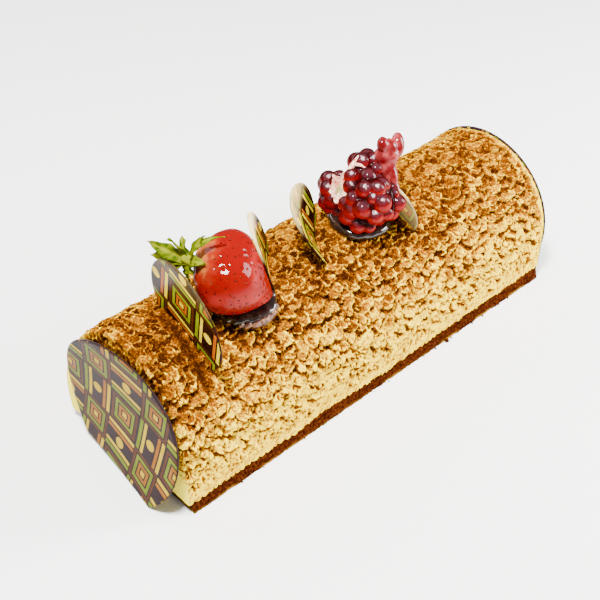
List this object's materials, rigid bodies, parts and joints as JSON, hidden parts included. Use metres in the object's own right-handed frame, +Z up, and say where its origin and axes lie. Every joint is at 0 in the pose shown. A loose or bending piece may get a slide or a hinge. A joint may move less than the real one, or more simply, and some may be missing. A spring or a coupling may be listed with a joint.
{
  "type": "chocolate swiss roll",
  "caption": "Half-round cream-coated log cake dusted with cocoa, closed at its ends by patterned chocolate discs and topped with chocolate discs, a glazed strawberry and glazed raspberries.",
  "frame": {"origin": "centre of the underside of the bounding box, on the surface that the cake rests on", "axes": "+X along the log, from the end with the leaning disc to the flush end; -Y is the side seen in the picture; +Z up"},
  "size_m": [0.2636, 0.0896, 0.1138],
  "materials": {
    "cream": "matt cream in spatula scallops, dusted with cocoa",
    "sponge": "open, dry crumb",
    "printed_chocolate": "glossy tempered chocolate with a coloured geometric transfer",
    "dark_chocolate": "glossy set chocolate",
    "strawberry": "wet glaze over seeded skin",
    "leaf": "satin leaf",
    "raspberry": "wet jelly glaze over drupelets"
  },
  "bodies": {
    "root": {"cream_log": "cream", "sponge_base": "sponge", "end_disc_near": "printed_chocolate", "end_disc_far": "printed_chocolate", "topping_disc_a": "printed_chocolate", "topping_disc_b": "printed_chocolate", "topping_disc_c": "printed_chocolate", "topping_disc_d": "printed_chocolate", "plinth_strawberry": "dark_chocolate", "plinth_raspberry": "dark_chocolate", "strawberry": "strawberry", "strawberry_leaves": "leaf", "raspberry_front": "raspberry", "raspberry_torn": "raspberry", "raspberry_top": "raspberry"}
  },
  "joints": []
}
